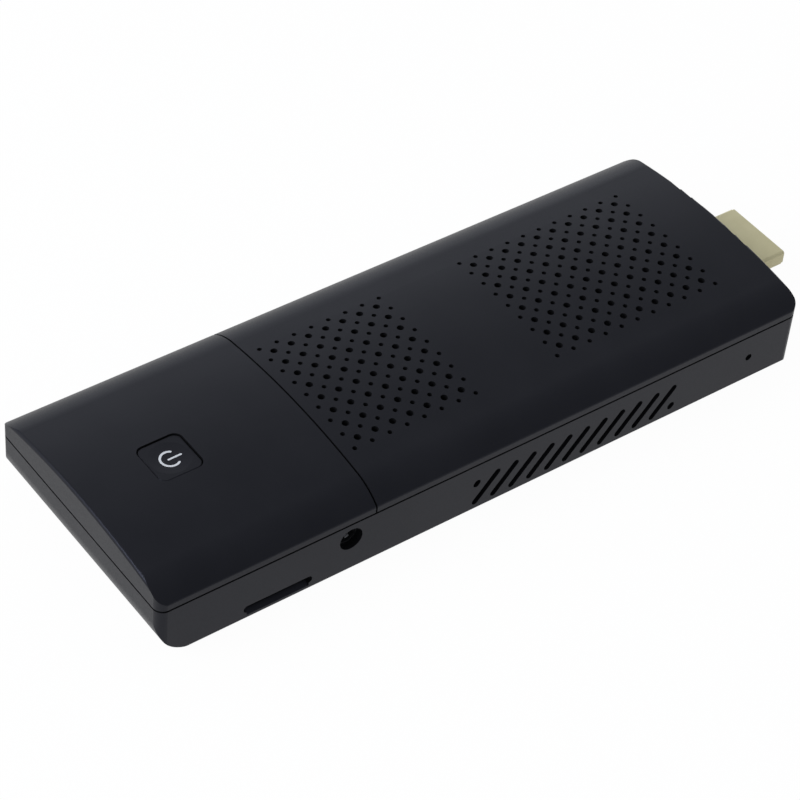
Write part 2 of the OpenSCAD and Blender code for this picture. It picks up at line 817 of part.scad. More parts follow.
// Plan of the body, drawn in by an inset
module body_plan(inset) {
  translate([body_length / 2, 0])
    round_rectangle(body_length - 2 * inset, body_width - 2 * inset, max(corner_round - inset, inner_corner));
}

// Side view of the tray, with the rounded nose and heel
module tray_side(inset, low, high) {
  nose = nose_round - inset;
  heel = max(heel_round - inset, inner_corner);
  span = body_length - 2 * inset;
  translate([inset, low])
    union() {
      translate([nose, 0])
        square([span - nose - heel, high - low]);
      translate([0, nose])
        square([span - heel, high - low - nose]);
      translate([nose, heel])
        square([span - nose, high - low - heel]);
      translate([nose, nose])
        circle(nose);
      translate([span - heel, heel])
        circle(heel);
    }
}

// Section of the tray with the small roundings of its long bottom edges
module tray_section() {
  union() {
    translate([-half_width + keel_round, 0])
      square([body_width - 2 * keel_round, body_height]);
    translate([-half_width, keel_round])
      square([body_width, body_height - keel_round]);
    for (s = [-1, 1])
      translate([s * (half_width - keel_round), keel_round])
        circle(keel_round);
  }
}

// Area under the crown and its shoulders, out to a distance from the centre line
module crown_area(inset, half, low) {
  intersection() {
    translate([0, crown_axis_z])
      circle(crown_radius - inset, $fn = crown_facets);
    translate([-crown_meet(inset), low])
      square([2 * crown_meet(inset), body_height]);
  }
  intersection() {
    for (s = [-1, 1])
      translate([s * shoulder_y, shoulder_z])
        circle(shoulder_radius - inset);
    translate([-half, low])
      square([2 * half, body_height]);
  }
}

// Section of the covers: the crown, its shoulders and the rounded long edges
module crown_section() {
  intersection() {
    union() {
      crown_area(0, edge_meet, rim_low);
      translate([-half_width, rim_low])
        square([body_width, edge_z - rim_low]);
      for (s = [-1, 1])
        translate([s * edge_y, edge_z])
          rotate(-90)
            circle(edge_round);
    }
    translate([-body_width, rim_high])
      square([2 * body_width, body_height]);
  }
}

// Section of a space under the crown
module crown_space(inset, low) {
  union()
    crown_area(inset, half_width - inset, low);
}

// Ring that rounds the crown's edge at an end face
module end_cutter() {
  reach = end_round * (1 + end_overlap);
  translate([0, 0, crown_axis_z])
    rotate([0, 90, 0])
      rotate_extrude()
        difference() {
          translate([crown_radius - end_round, -1])
            square([end_round + 1, end_round + 1]);
          translate([crown_radius - reach, reach])
            circle(sqrt(pow(reach, 2) + pow(reach - end_round, 2)));
        }
}

// Outer form of the covers between two stations
module cover_form(x0, x1) {
  intersection() {
    along_x(x0, x1)
      crown_section();
    upright(rim_low, body_height + 1)
      body_plan(-plan_overlap);
  }
}

// Space under the covers, with the rebate for the tray's tongue
module cover_space(x0, x1) {
  intersection() {
    along_x(x0, x1)
      crown_space(wall, rim_low);
    upright(rim_low - 1, body_height)
      body_plan(wall - plan_overlap);
  }
  upright(rim_low - 1, step_z)
    body_plan(rim_inset);
}

// Snap hooks of a cover
module hooks(list) {
  for (h = list)
    translate([h[0], 0, 0])
      mirror([0, h[1] < 0 ? 1 : 0, 0])
        hook();
}

// One snap hook on the far side
module hook() {
  slab(
    [-hook_length / 2, hook_y - hook_thickness, hook_low],
    [hook_length / 2, hook_y, crown_z(hook_y, wall / 2)]
  );
  slab(
    [-hook_length / 2, hook_y - eps, hook_low],
    [hook_length / 2, hook_y + shell_clearance + barb_reach, hook_low + barb_height]
  );
}

// Pockets in the tray for the barbs of the snap hooks
module hook_pockets(list) {
  for (h = list)
    translate([h[0], 0, 0])
      mirror([0, h[1] < 0 ? 1 : 0, 0])
        slab(
          [-hook_length / 2 - shell_clearance, inner_half - eps, hook_low - shell_clearance],
          [
            hook_length / 2 + shell_clearance,
            inner_half + barb_reach + shell_clearance,
            hook_low + barb_height + shell_clearance
          ]
        );
}

// Holes of one grille in plan
module grille_plan(x0, columns) {
  for (i = [0 : columns - 1], j = [0 : grille_rows - 1])
    translate([x0 + i * hole_pitch_x, (j - (grille_rows - 1) / 2) * hole_pitch_y])
      circle(d = small_hole_d);
  for (i = [0 : columns - 2], j = [0 : grille_rows - 2])
    translate([x0 + (i + 0.5) * hole_pitch_x, (j - grille_rows / 2 + 1) * hole_pitch_y])
      circle(d = large_hole_d);
}

// Slot with round ends about its middle
module slot_shape(length, width) {
  union() {
    square([length, width], center = true);
    for (s = [-1, 1])
      translate([s * length / 2, 0])
        circle(d = width);
  }
}

// Side vents in side view
module vent_plan() {
  for (i = [0 : vent_count - 1])
    translate([vent_first + i * vent_pitch, vent_z])
      rotate(vent_angle)
        slot_shape(vent_length, vent_width);
  translate([vent_first - stub_step, vent_z + stub_rise])
    rotate(vent_angle)
      slot_shape(stub_length, vent_width);
  translate([vent_last + stub_step, vent_z - stub_rise])
    rotate(vent_angle)
      slot_shape(stub_length, vent_width);
}

// Section of a trapezoid port: wide face up, drawn in by an inset, standing on zero
module port_section(width, height, side, foot, r, inset) {
  run = (width - foot) / 2;
  drop = height - side;
  slope = sqrt(pow(run, 2) + pow(drop, 2));
  half = width / 2 - inset;
  top = height - inset;
  shoulder = drop + inset * run / slope - inset * (1 - drop / slope) * drop / run;
  toe = width / 2 - inset * drop / slope - (drop + inset * run / slope - inset) * run / drop;
  corner = r - inset;
  union() {
    polygon([
      [-toe, inset],
      [toe, inset],
      [half, shoulder],
      [half, top - corner],
      [half - corner, top],
      [-half + corner, top],
      [-half, top - corner],
      [-half, shoulder]
    ]);
    for (s = [-1, 1])
      translate([s * (half - corner), top - corner])
        circle(corner);
  }
}

module plug_section(inset) {
  translate([0, plug_bottom])
    port_section(plug_width, plug_height, plug_side, plug_foot, plug_corner, inset);
}

module inlet_section(inset) {
  translate([inlet_x, board_top])
    port_section(inlet_width, inlet_height, inlet_side, inlet_foot, inlet_corner, inset);
}

module usb_section(x, inset) {
  translate([x, usb_bottom + usb_height / 2])
    round_rectangle(usb_width - 2 * inset, usb_height - 2 * inset, usb_corner - inset);
}

// Screw with a cross-slotted head, its head seated at a height
module screw(point, seat) {
  low = pilot_floor + pilot_clearance;
  translate([point[0], point[1], 0])
    difference() {
      union() {
        translate([0, 0, low])
          cylinder(d = screw_d, h = seat - low + eps);
        translate([0, 0, seat])
          cylinder(d = screw_head_d, h = screw_head_h);
      }
      for (a = [0, 90])
        rotate([0, 0, a])
          translate([0, 0, seat + screw_head_h])
            cube([screw_head_d - 2 * screw_slot, screw_slot, screw_head_h], center = true);
    }
}

// Upright holes at a list of points
module point_holes(points, d, z0, z1) {
  for (p = points)
    translate([p[0], p[1], z0])
      cylinder(d = d, h = z1 - z0);
}

module bottom_tray() {
  placed()
    color("#26272a")
      difference() {
        union() {
          difference() {
            intersection() {
              along_y(-half_width - 1, half_width + 1)
                tray_side(0, -plan_overlap, body_height);
              upright(-1, rim_low)
                body_plan(-plan_overlap);
              along_x(-1, body_length + 1)
                tray_section();
            }
            intersection() {
              along_y(-inner_half, inner_half)
                tray_side(wall, tray_floor, body_height);
              upright(0, body_height)
                body_plan(wall - plan_overlap);
            }
          }
          difference() {
            upright(rim_low - eps, step_z)
              body_plan(wall - tongue_thickness);
            upright(0, body_height)
              body_plan(wall);
          }
          point_holes(concat(board_points, sink_points, fan_points), boss_d, tray_floor / 2, board_bottom);
        }
        point_holes(
          concat(board_points, sink_points, fan_points),
          screw_d + 2 * pilot_clearance,
          pilot_floor,
          body_height
        );
        hook_pockets(concat(cap_hooks, cover_hooks));
        along_y(-half_width - 1, near_inner + eps)
          vent_plan();
        translate([jack_x, near_inner + eps, jack_z])
          rotate([90, 0, 0])
            cylinder(d = jack_hole_d, h = wall + 1);
        translate([reset_x, near_inner + eps, reset_z])
          rotate([90, 0, 0])
            cylinder(d = reset_hole_d, h = wall + 1);
        along_y(-half_width - 1, near_inner + eps)
          translate([card_x, card_slot_z + card_slot_height / 2])
            slot_shape(card_slot_width - card_slot_height, card_slot_height);
        along_x(card_x - card_slot_width / 2 + scoop_inset, card_x + card_slot_width / 2 - scoop_inset)
          polygon([
            [-half_width - eps, card_slot_z - scoop_drop],
            [-half_width + scoop_depth, card_slot_z + eps],
            [-half_width - eps, card_slot_z + eps]
          ]);
        along_x(back_inner - 1, body_length + 1)
          plug_section(-plug_gap);
        along_y(inner_half - 1, half_width + 1)
          usb_section(usb2_x, -port_gap);
        along_y(inner_half - 1, half_width + 1)
          usb_section(usb3_x, -port_gap);
        along_y(inner_half - 1, half_width + 1)
          inlet_section(-port_gap);
      }
}

module main_cover() {
  placed()
    color("#26272a")
      difference() {
        union() {
          difference() {
            cover_form(cover_start, body_length);
            cover_space(cover_start - 1, body_length);
            along_x(cover_start - 1, seam_x + lap_length + shell_clearance)
              crown_space(wall - lap_thickness - shell_clearance, rim_low);
            translate([body_length, 0, 0])
              mirror([1, 0, 0])
                end_cutter();
          }
          hooks(cover_hooks);
        }
        upright(step_z, body_height + 1)
          grille_plan(front_grille_x, front_grille_columns);
        upright(step_z, body_height + 1)
          grille_plan(rear_grille_x, rear_grille_columns);
      }
}

module front_cap() {
  collar_length = button_length + 2 * collar_wall;
  collar_width = button_width + 2 * collar_wall;
  collar_high = crown_z(abs(button_y) + collar_width / 2, wall / 2);
  placed()
    color("#26272a")
      difference() {
        union() {
          difference() {
            cover_form(0, cap_end);
            cover_space(-1, cap_end + 1);
            end_cutter();
          }
          difference() {
            along_x(cap_end - lap_length, seam_x + lap_length)
              crown_space(wall - lap_thickness, step_z + shell_clearance);
            along_x(cap_end - lap_length - 1, seam_x + lap_length + 1)
              crown_space(wall, rim_low);
          }
          translate([button_x, button_y, 0])
            upright(collar_low, collar_high)
              round_rectangle(collar_length, collar_width, button_round + collar_wall);
          hooks(cap_hooks);
        }
        translate([button_x, button_y, 0])
          upright(collar_low - 1, body_height + 1)
            round_rectangle(button_length, button_width, button_round);
      }
}

module power_button() {
  length = button_length - 2 * button_gap;
  width = button_width - 2 * button_gap;
  top = body_height - button_recess;
  dish_ball = (pow(dish_radius, 2) + pow(dish_depth, 2)) / (2 * dish_depth);
  placed()
    color("#2b2c2f")
      translate([button_x, button_y, 0])
        difference() {
          union() {
            soft_block(length, width, button_round - button_gap, button_edge, flange_top - eps, top);
            upright(flange_top - flange_thickness, flange_top)
              round_rectangle(length + 2 * flange_reach, width + 2 * flange_reach, button_round);
            translate([0, 0, stem_bottom])
              cylinder(d = stem_d, h = flange_top - stem_bottom);
          }
          translate([0, 0, top - dish_depth + dish_ball])
            sphere(dish_ball);
        }
}

module power_switch_body() {
  bore = plunger_d + 2 * plunger_clearance;
  low = board_top + switch_height - plunger_depth - button_travel - plunger_clearance;
  placed()
    color("#1c1c1e")
      translate([button_x, button_y, 0])
        difference() {
          upright(board_top, board_top + switch_height)
            square(switch_width, center = true);
          translate([0, 0, low])
            cylinder(d = bore, h = switch_height);
        }
}

module power_switch_plunger() {
  low = board_top + switch_height - plunger_depth;
  placed()
    color("#3a3a3c")
      translate([button_x, button_y, low])
        cylinder(d = plunger_d, h = board_top + plunger_height - low);
}

module main_board() {
  placed()
    color("#12502c")
      difference() {
        upright(board_bottom, board_top)
          translate([(board_front + board_end) / 2, 0])
            round_rectangle(board_end - board_front, 2 * board_half, board_round);
        for (x = [usb2_x, usb3_x])
          slab(
            [x - usb_width / 2 - port_gap, usb_back - port_gap, 0],
            [x + usb_width / 2 + port_gap, half_width, body_height]
          );
        slab(
          [plug_back - port_gap, -plug_width / 2 - port_gap, 0],
          [body_length, plug_width / 2 + port_gap, body_height]
        );
        point_holes(concat(board_points, sink_points, fan_points), screw_hole_d, 0, body_height);
      }
}

module board_screws() {
  placed()
    color("#8d9095")
      for (p = board_points)
        screw(p, board_top);
}

module processor() {
  placed()
    color("#1f3a2a")
      translate([processor_x, processor_y, 0])
        union() {
          upright(board_top, board_top + processor_base)
            square(processor_width, center = true);
          upright(board_top, board_top + processor_base + die_thickness)
            square(die_width, center = true);
        }
}

module thermal_pad() {
  placed()
    color("#8fa0b0")
      translate([processor_x, processor_y, 0])
        upright(sink_bottom - pad_thickness, sink_bottom)
          square(pad_width, center = true);
}

module heat_sink() {
  placed()
    color("#b9bcc0")
      difference() {
        union() {
          slab([sink_x, sink_near_y, sink_bottom], [sink_end, sink_far_y, sink_top]);
          for (i = [0 : fin_count - 1])
            translate([i * fin_pitch, 0, 0])
              slab(
                [sink_x, sink_near_y, sink_top - eps],
                [sink_x + fin_thickness, sink_far_y, fin_top]
              );
          point_holes(sink_points, boss_d, board_top, sink_bottom + eps);
        }
        point_holes(sink_points, screw_hole_d, board_top - 1, body_height);
        point_holes(sink_points, boss_d, sink_top, body_height);
      }
}

module heat_sink_screws() {
  placed()
    color("#8d9095")
      for (p = sink_points)
        screw(p, sink_top);
}

module memory_chips() {
  placed()
    color("#18181a")
      for (s = [-0.5, 0.5])
        translate([processor_x + s * memory_spacing, processor_y, 0])
          upright(board_bottom - chip_thickness, board_bottom)
            square([memory_length, memory_width], center = true);
}

module storage_chip() {
  placed()
    color("#18181a")
      translate([fan_x, 0, 0])
        upright(board_bottom - chip_thickness, board_bottom)
          square([storage_length, storage_width], center = true);
}

module power_controller() {
  placed()
    color("#18181a")
      translate([controller_x, controller_y, 0])
        upright(board_top, board_top + chip_thickness)
          square(controller_width, center = true);
}

module power_inductors() {
  placed()
    color("#4a4a4c")
      for (x = [inductor_left, inductor_left + inductor_spacing], y = [inductor_inner_y, inductor_outer_y])
        translate([x, y, 0])
          upright(board_top, board_top + inductor_height)
            square(inductor_width, center = true);
}

module wireless_module() {
  placed()
    color("#14406a")
      translate([module_x, module_y, 0])
        upright(board_top, module_top)
          square(module_width, center = true);
}

module wireless_shield() {
  half = module_width / 2 - shield_inset;
  placed()
    color("#b4b6b8")
      translate([module_x, module_y, 0])
        slab([half - shield_length, -half, module_top], [half, half, module_top + shield_height]);
}

module antenna() {
  slot_low = board_top + antenna_height / 2 - antenna_slot_height / 2;
  placed()
    color("#c59a4a")
      difference() {
        slab(
          [antenna_x, -antenna_width / 2, board_top],
          [antenna_x + antenna_thickness, antenna_width / 2, board_top + antenna_height]
        );
        slab(
          [antenna_x - 1, antenna_width / 2 - antenna_slot, slot_low],
          [antenna_x + antenna_thickness + 1, antenna_width, slot_low + antenna_slot_height]
        );
      }
}

module antenna_cable() {
  start = antenna_x + antenna_thickness;
  placed()
    color("#2a2a2a")
      union() {
        translate([start, cable_y, cable_z])
          rotate([0, 90, 0])
            cylinder(d = cable_d, h = cable_x - start);
        translate([cable_x, cable_y, module_top])
          cylinder(d = connector_d, h = connector_height);
      }
}

// Plan of the space inside the blower
module scroll_plan() {
  union() {
    translate([fan_x + scroll_offset, scroll_offset])
      circle(scroll_r);
    translate([fan_x - fan_width / 2 + outlet_wall, -fan_width])
      square([fan_width / 2 - outlet_wall + outlet_reach, fan_width + scroll_offset]);
  }
}

module fan_frame() {
  placed()
    color("#1a1a1c")
      difference() {
        union() {
          difference() {
            translate([fan_x, 0, 0])
              upright(board_top, fan_ceiling)
                square(fan_width, center = true);
            upright(fan_floor, body_height)
              scroll_plan();
          }
          translate([fan_x, 0, fan_floor - eps])
            cylinder(r = bearing_boss_r + stator_ring / 2, h = shoulder_height + eps);
          translate([fan_x, 0, fan_floor - eps])
            cylinder(r = bearing_boss_r, h = bearing_high - fan_floor + eps);
        }
        translate([fan_x, 0, bearing_low])
          cylinder(r = bearing_r + boss_clearance, h = fan_height);
        point_holes(fan_points, screw_hole_d, 0, body_height);
      }
}

module fan_lid() {
  placed()
    color("#1f1f22")
      difference() {
        translate([fan_x, 0, 0])
          upright(fan_ceiling, fan_top)
            square(fan_width, center = true);
        translate([fan_x, 0, 0])
          cylinder(r = intake_r, h = body_height);
        point_holes(fan_points, screw_hole_d, 0, body_height);
      }
}

// One curved blade in plan, from the hub to the rim
module blade_plan() {
  intersection() {
    translate([blade_mid_r, -blade_curve])
      difference() {
        circle(blade_curve + blade_thickness / 2);
        circle(blade_curve - blade_thickness / 2);
      }
    translate([0, -impeller_r / 2])
      square(impeller_r);
    circle(impeller_r);
  }
}

module fan_impeller() {
  placed()
    color("#232326")
      translate([fan_x, 0, 0])
        difference() {
          union() {
            translate([0, 0, impeller_low])
              cylinder(r = hub_r, h = impeller_high - impeller_low);
            translate([0, 0, impeller_low])
              cylinder(r = impeller_r - eps, h = ring_plate);
            difference() {
              upright(impeller_low, impeller_high)
                for (i = [0 : blade_count - 1])
                  rotate(i * 360 / blade_count)
                    blade_plan();
              cylinder(r = hub_r - hub_wall / 2, h = body_height);
            }
          }
          difference() {
            cylinder(r = hub_r - hub_wall, h = hub_ceiling);
            translate([0, 0, hub_boss_low])
              cylinder(r = bearing_r, h = body_height);
          }
          cylinder(r = shaft_r + boss_clearance, h = shaft_high);
        }
}

module fan_magnet() {
  placed()
    color("#3c3c40")
      translate([fan_x, 0, hub_ceiling - magnet_height])
        difference() {
          cylinder(r = magnet_inner + magnet_thickness, h = magnet_height);
          translate([0, 0, -1])
            cylinder(r = magnet_inner, h = magnet_height + 2);
        }
}

module fan_shaft() {
  placed()
    color("#c8cacc")
      translate([fan_x, 0, shaft_low])
        cylinder(r = shaft_r, h = shaft_high - shaft_low);
}

module fan_bearing() {
  placed()
    color("#b08a3c")
      translate([fan_x, 0, bearing_low])
        difference() {
          cylinder(r = bearing_r, h = bearing_high - bearing_low);
          translate([0, 0, -1])
            cylinder(r = shaft_r + shaft_clearance, h = fan_height);
        }
}

module fan_stator() {
  inner = bearing_boss_r + boss_clearance;
  reach = magnet_inner - stator_gap;
  placed()
    color("#a5612e")
      translate([fan_x, 0, 0])
        upright(stator_low, stator_low + stator_height)
          difference() {
            union() {
              circle(inner + stator_ring);
              for (a = [0, 90])
                rotate(a)
                  intersection() {
                    square([2 * reach, stator_arm], center = true);
                    circle(reach);
                  }
            }
            circle(inner);
          }
}

module fan_screws() {
  placed()
    color("#8d9095")
      for (p = fan_points)
        screw(p, fan_top);
}

module hdmi_shell() {
  leg = plug_width / 2 + leg_reach;
  leg_x = plug_back + leg_reach;
  placed()
    color("#aaa384")
      difference() {
        union() {
          along_x(plug_back, plug_tip - plug_lip_length)
            plug_section(0);
          along_x(plug_back, plug_tip)
            plug_section(plug_lip);
          slab([leg_x, -leg, board_top], [leg_x + leg_length, leg, board_top + plug_sheet]);
        }
        along_x(plug_back - 1, plug_tip + 1)
          plug_section(plug_sheet);
      }
}

module hdmi_insert() {
  middle = plug_bottom + plug_height / 2;
  face = plug_tip - insert_recess;
  placed()
    color("#1a1a1a")
      difference() {
        along_x(plug_back, face)
          plug_section(plug_sheet + insulator_gap);
        slab(
          [face - insert_mouth_depth, -insert_mouth_width / 2, middle - insert_mouth_height / 2],
          [plug_tip, insert_mouth_width / 2, middle + insert_mouth_height / 2]
        );
      }
}

module hdmi_contacts() {
  middle = plug_bottom + plug_height / 2;
  face = plug_tip - insert_recess;
  length = insert_mouth_depth - insert_recess;
  placed()
    color("#c9a24a")
      union() {
        for (i = [0 : plug_contacts - 1])
          translate([
            face - insert_mouth_depth,
            (i - (plug_contacts - 1) / 2) * plug_contact_pitch - plug_contact_width / 2,
            middle + insert_mouth_height / 2 - contact_thickness
          ])
            cube([length, plug_contact_width, contact_thickness]);
        for (i = [0 : plug_contacts - 2])
          translate([
            face - insert_mouth_depth,
            (i - plug_contacts / 2 + 1) * plug_contact_pitch - plug_contact_width / 2,
            middle - insert_mouth_height / 2
          ])
            cube([length, plug_contact_width, contact_thickness]);
      }
}

// Sheet shell of a port on the hidden side, with solder legs on the board
module usb_shell(x) {
  leg = usb_width / 2 + leg_reach;
  difference() {
    union() {
      along_y(usb_back, mouth_y)
        usb_section(x, 0);
      slab(
        [x - leg, usb_back + leg_reach, board_top],
        [x + leg, usb_back + leg_reach + leg_length, board_top + usb_sheet]
      );
    }
    along_y(usb_back + usb_sheet, mouth_y + 1)
      usb_section(x, usb_sheet);
  }
}

// Insulator of a port: the block at the back and the tongue
module usb_insulator(x) {
  back = usb_back + usb_sheet;
  union() {
    along_y(back, back + usb_block)
      usb_section(x, usb_sheet + insulator_gap);
    slab(
      [x - usb_tongue_width / 2, back, usb_tongue_low],
      [x + usb_tongue_width / 2, mouth_y - usb_tongue_recess, usb_tongue_top]
    );
  }
}

// Wide contacts on the underside of a port's tongue
module usb_wide_contacts(x) {
  back = usb_back + usb_sheet + usb_block;
  for (i = [-1.5 : 1 : 1.5])
    translate([
      x + i * usb_contact_pitch - usb_contact_width / 2,
      back,
      usb_tongue_low - contact_thickness
    ])
      cube([usb_contact_width, usb_contact_length, contact_thickness]);
}

module usb3_shell() {
  placed()
    color("#c3c5c8")
      usb_shell(usb3_x);
}

module usb3_tongue() {
  placed()
    color("#2456b8")
      usb_insulator(usb3_x);
}

module usb3_contacts() {
  front = mouth_y - usb_tongue_recess - usb_front_length;
  placed()
    color("#c9a24a")
      union() {
        usb_wide_contacts(usb3_x);
        for (i = [-2 : 2])
          translate([
            usb3_x + i * usb_contact_pitch * 4 / 5 - usb_contact_width / 2,
            front - contact_thickness,
            usb_tongue_low - contact_thickness
          ])
            cube([usb_contact_width, usb_front_length, contact_thickness]);
      }
}

module usb2_shell() {
  placed()
    color("#c3c5c8")
      usb_shell(usb2_x);
}

module usb2_tongue() {
  placed()
    color("#1a1a1a")
      usb_insulator(usb2_x);
}

module usb2_contacts() {
  placed()
    color("#c9a24a")
      usb_wide_contacts(usb2_x);
}

module power_inlet_shell() {
  leg = inlet_width / 2 + leg_reach;
  placed()
    color("#c3c5c8")
      difference() {
        union() {
          along_y(inlet_back, mouth_y)
            inlet_section(0);
          slab(
            [inlet_x - leg, inlet_back, board_top],
            [inlet_x + leg, inlet_back + leg_length, board_top + inlet_sheet]
          );
        }
        along_y(inlet_back + inlet_sheet, mouth_y + 1)
          inlet_section(inlet_sheet);
      }
}

module power_inlet_tongue() {
  back = inlet_back + inlet_sheet;
  placed()
    color("#1a1a1a")
      union() {
        along_y(back, back + inlet_block)
          inlet_section(inlet_sheet + insulator_gap);
        slab(
          [
            inlet_x - inlet_tongue_width / 2,
            back,
            inlet_tongue_z
          ],
          [
            inlet_x + inlet_tongue_width / 2,
            mouth_y - usb_tongue_recess,
            inlet_tongue_z + inlet_tongue_thickness
          ]
        );
      }
}

module power_inlet_contacts() {
  back = inlet_back + inlet_sheet + inlet_block;
  front = mouth_y - usb_tongue_recess - plug_contact_width;
  placed()
    color("#c9a24a")
      for (i = [-2 : 2])
        translate([
          inlet_x + i * inlet_contact_pitch - plug_contact_width / 2,
          back,
          inlet_tongue_z - contact_thickness
        ])
          cube([plug_contact_width, front - back, contact_thickness]);
}

module audio_jack_body() {
  placed()
    color("#1a1a1a")
      difference() {
        slab(
          [jack_x - jack_width / 2, jack_front, board_top],
          [jack_x + jack_width / 2, jack_front + jack_length, board_top + jack_height]
        );
        translate([jack_x, jack_front + jack_bore_depth, jack_z])
          rotate([90, 0, 0])
            cylinder(d = jack_bore_d, h = jack_length);
      }
}

module audio_jack_springs() {
  side = jack_width / 2;
  placed()
    color("#c9a24a")
      for (i = [1 : 3], s = [-1, 1])
        translate([
          jack_x + s * (side + contact_thickness / 2),
          jack_front + i * jack_length / 4,
          board_top + jack_rise / 2
        ])
          cube([contact_thickness, spring_width, jack_rise], center = true);
}

module card_socket_base() {
  left = socket_left + socket_sheet + insulator_gap;
  right = socket_right - socket_sheet - insulator_gap;
  placed()
    color("#1a1a1a")
      union() {
        slab([left, socket_front, socket_roof], [right, socket_back, board_bottom]);
        slab([left, socket_front, socket_floor], [left + socket_rail, socket_back, board_bottom]);
        slab([left, socket_back - socket_rail, socket_floor], [right, socket_back, board_bottom]);
      }
}

module card_socket_shell() {
  placed()
    color("#c3c5c8")
      difference() {
        slab([socket_left, socket_front, socket_low], [socket_right, socket_back, board_bottom]);
        slab(
          [socket_left + socket_sheet, socket_front - 1, socket_floor],
          [socket_right - socket_sheet, socket_back + 1, body_height]
        );
      }
}

module card_contacts() {
  back = socket_back - socket_rail;
  middle = card_x - ejector_width / 2;
  placed()
    color("#c9a24a")
      for (i = [0 : card_contact_count - 1])
        translate([
          middle + (i - (card_contact_count - 1) / 2) * card_contact_pitch - card_contact_width / 2,
          back - card_contact_length,
          socket_roof - contact_thickness
        ])
          cube([card_contact_width, card_contact_length, contact_thickness]);
}

module card_ejector() {
  placed()
    color("#e2e0d8")
      slab(
        [ejector_right - ejector_width, ejector_back - ejector_length, socket_floor + ejector_clearance],
        [ejector_right, ejector_back, socket_roof - ejector_clearance]
      );
}

module reset_switch_body() {
  bore = reset_plunger_depth + reset_travel + plunger_clearance;
  placed()
    color("#b4b6b8")
      difference() {
        slab(
          [reset_x - reset_width / 2, reset_front, board_top],
          [reset_x + reset_width / 2, reset_front + reset_depth, board_top + reset_height]
        );
        translate([reset_x, reset_front + bore, reset_z])
          rotate([90, 0, 0])
            cylinder(d = reset_plunger_d + 2 * plunger_clearance, h = reset_depth);
      }
}

module reset_switch_plunger() {
  placed()
    color("#e2e0d8")
      translate([reset_x, reset_front + reset_plunger_depth, reset_z])
        rotate([90, 0, 0])
          cylinder(d = reset_plunger_d, h = reset_plunger_depth + reset_plunger_reach);
}

bottom_tray();
main_cover();
front_cap();
power_button();
power_switch_body();
power_switch_plunger();
main_board();
board_screws();
processor();
thermal_pad();
heat_sink();
heat_sink_screws();
memory_chips();
storage_chip();
power_controller();
power_inductors();
wireless_module();
wireless_shield();
antenna();
antenna_cable();
fan_frame();
fan_lid();
fan_impeller();
fan_magnet();
fan_shaft();
fan_bearing();
fan_stator();
fan_screws();
hdmi_shell();
hdmi_insert();
hdmi_contacts();
usb3_shell();
usb3_tongue();
usb3_contacts();
usb2_shell();
usb2_tongue();
usb2_contacts();
power_inlet_shell();
power_inlet_tongue();
power_inlet_contacts();
audio_jack_body();
audio_jack_springs();
card_socket_base();
card_socket_shell();
card_contacts();
card_ejector();
reset_switch_body();
reset_switch_plunger();
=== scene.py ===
import json
import math

import bmesh
import bpy
from mathutils import Matrix, Vector


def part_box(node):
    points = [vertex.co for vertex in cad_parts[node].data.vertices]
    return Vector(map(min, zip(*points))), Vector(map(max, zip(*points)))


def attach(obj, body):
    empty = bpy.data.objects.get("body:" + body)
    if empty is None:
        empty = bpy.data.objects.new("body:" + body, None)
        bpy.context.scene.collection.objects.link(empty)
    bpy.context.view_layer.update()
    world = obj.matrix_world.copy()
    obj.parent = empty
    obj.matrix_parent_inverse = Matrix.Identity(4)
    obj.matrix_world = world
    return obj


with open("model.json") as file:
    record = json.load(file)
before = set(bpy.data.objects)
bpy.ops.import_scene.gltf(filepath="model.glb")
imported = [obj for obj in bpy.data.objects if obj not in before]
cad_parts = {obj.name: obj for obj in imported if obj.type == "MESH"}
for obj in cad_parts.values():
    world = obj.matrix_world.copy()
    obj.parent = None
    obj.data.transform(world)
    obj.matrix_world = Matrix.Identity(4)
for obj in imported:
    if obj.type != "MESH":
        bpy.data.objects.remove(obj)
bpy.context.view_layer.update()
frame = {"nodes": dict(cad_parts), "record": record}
scene = bpy.context.scene
scene.view_settings.view_transform = "Standard"
MM = 0.001


# Camera

CAMERA_RIGHT = Vector((0.80768, -0.58556, 0.06918))
CAMERA_UP = Vector((0.36463, 0.58822, 0.72184))
CAMERA_BACK = Vector((-0.46336, -0.55779, 0.68859))
CAMERA_PLACE = Vector((-0.223116, -0.258697, 0.323944))
LENS = 128.741
SENSOR_WIDTH = 36
CLIP_NEAR = 0.01
CLIP_FAR = 20


def product_camera():
    data = bpy.data.cameras.new("product_camera")
    data.lens = LENS
    data.sensor_width = SENSOR_WIDTH
    data.clip_start = CLIP_NEAR
    data.clip_end = CLIP_FAR
    camera = bpy.data.objects.new("product_camera", data)
    scene.collection.objects.link(camera)
    turn = Matrix((CAMERA_RIGHT, CAMERA_UP, CAMERA_BACK)).transposed().to_4x4()
    camera.matrix_world = Matrix.Translation(CAMERA_PLACE) @ turn
    scene.camera = camera


product_camera()


# Studio

COOL_LIGHT = (0.97, 1.0, 1.06)
# Direction along which the sky changes, and its level at places along it
SKY_SLOPE = (0, 0.7071, -0.7071)
SKY_STEPS = [(0.06, 0.46), (0.18, 0.55), (0.3, 0.63), (0.38, 0.57), (0.45, 0.51), (0.52, 0.65),
             (0.59, 1.03), (0.66, 1.28), (0.74, 1.12), (0.85, 0.75)]
FLOOR_SIZE = 8
FLOOR_DROP = 0.05 * MM
PAPER_GREY = 0.85
# Share of plain white in what is seen of the floor, the rest being lit paper
WHITE_SHARE = 0.97
SOFTBOX_PLACE = Vector((-0.82, 0.28, 0.68))
SOFTBOX_SIZE = 0.6
SOFTBOX_WATTS = 8.2


